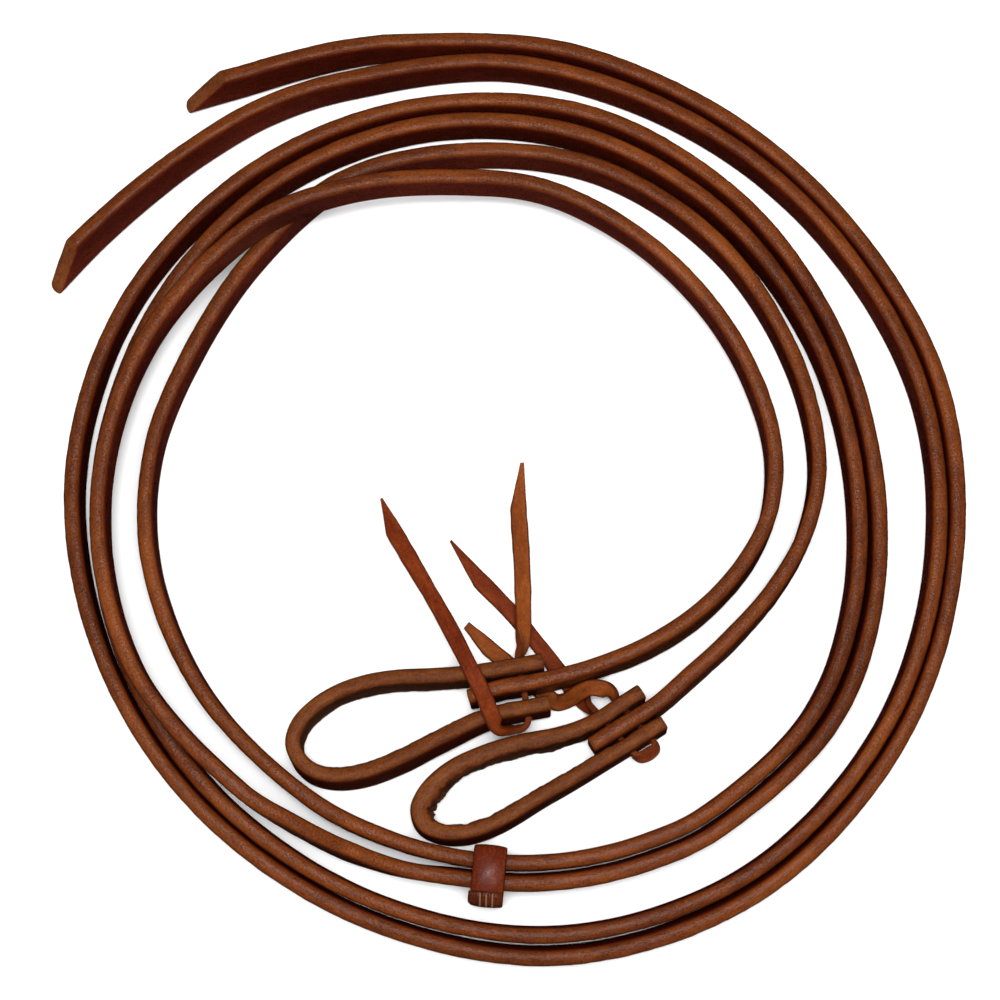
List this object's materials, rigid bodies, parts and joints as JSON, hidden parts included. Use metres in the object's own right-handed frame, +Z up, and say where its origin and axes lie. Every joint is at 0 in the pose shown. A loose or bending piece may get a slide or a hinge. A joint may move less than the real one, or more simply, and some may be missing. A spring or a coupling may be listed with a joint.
{
  "type": "split reins",
  "caption": "Pair of leather split reins coiled on edge, each ending in a thong-tied water loop for the bit, with one sliding sewn keeper round two strands.",
  "frame": {"origin": "centre of the ground that the coil covers, on the ground", "axes": "+Z up, across the strap's width; -Y towards the side of the coil where the keeper sits; +X to the right when looking along +Y"},
  "size_m": [0.2925, 0.2982, 0.0329],
  "materials": {
    "rein_leather": "oiled russet harness leather, burnished edges",
    "loop_leather": "oiled russet harness leather, rough flesh side inside the fold",
    "thong_latigo": "soft latigo, grain on one side and flesh on the other",
    "keeper_leather": "smooth glazed chestnut strap leather",
    "waxed_thread": "waxed linen thread"
  },
  "bodies": {
    "coil": {"off_rein": "rein_leather", "near_rein": "rein_leather", "off_water_loop": "loop_leather", "near_water_loop": "loop_leather", "off_tie_thong": "thong_latigo", "near_tie_thong": "thong_latigo"},
    "keeper": {"keeper": "keeper_leather", "keeper_thread": "waxed_thread"}
  },
  "joints": [
    {"name": "keeper_slide", "type": "hinge", "parent": "coil", "child": "keeper", "pos_m": [0.0064, -0.0044, 0.0107], "axis": [0, 0, 1], "range_deg": [-1, 28]}
  ]
}
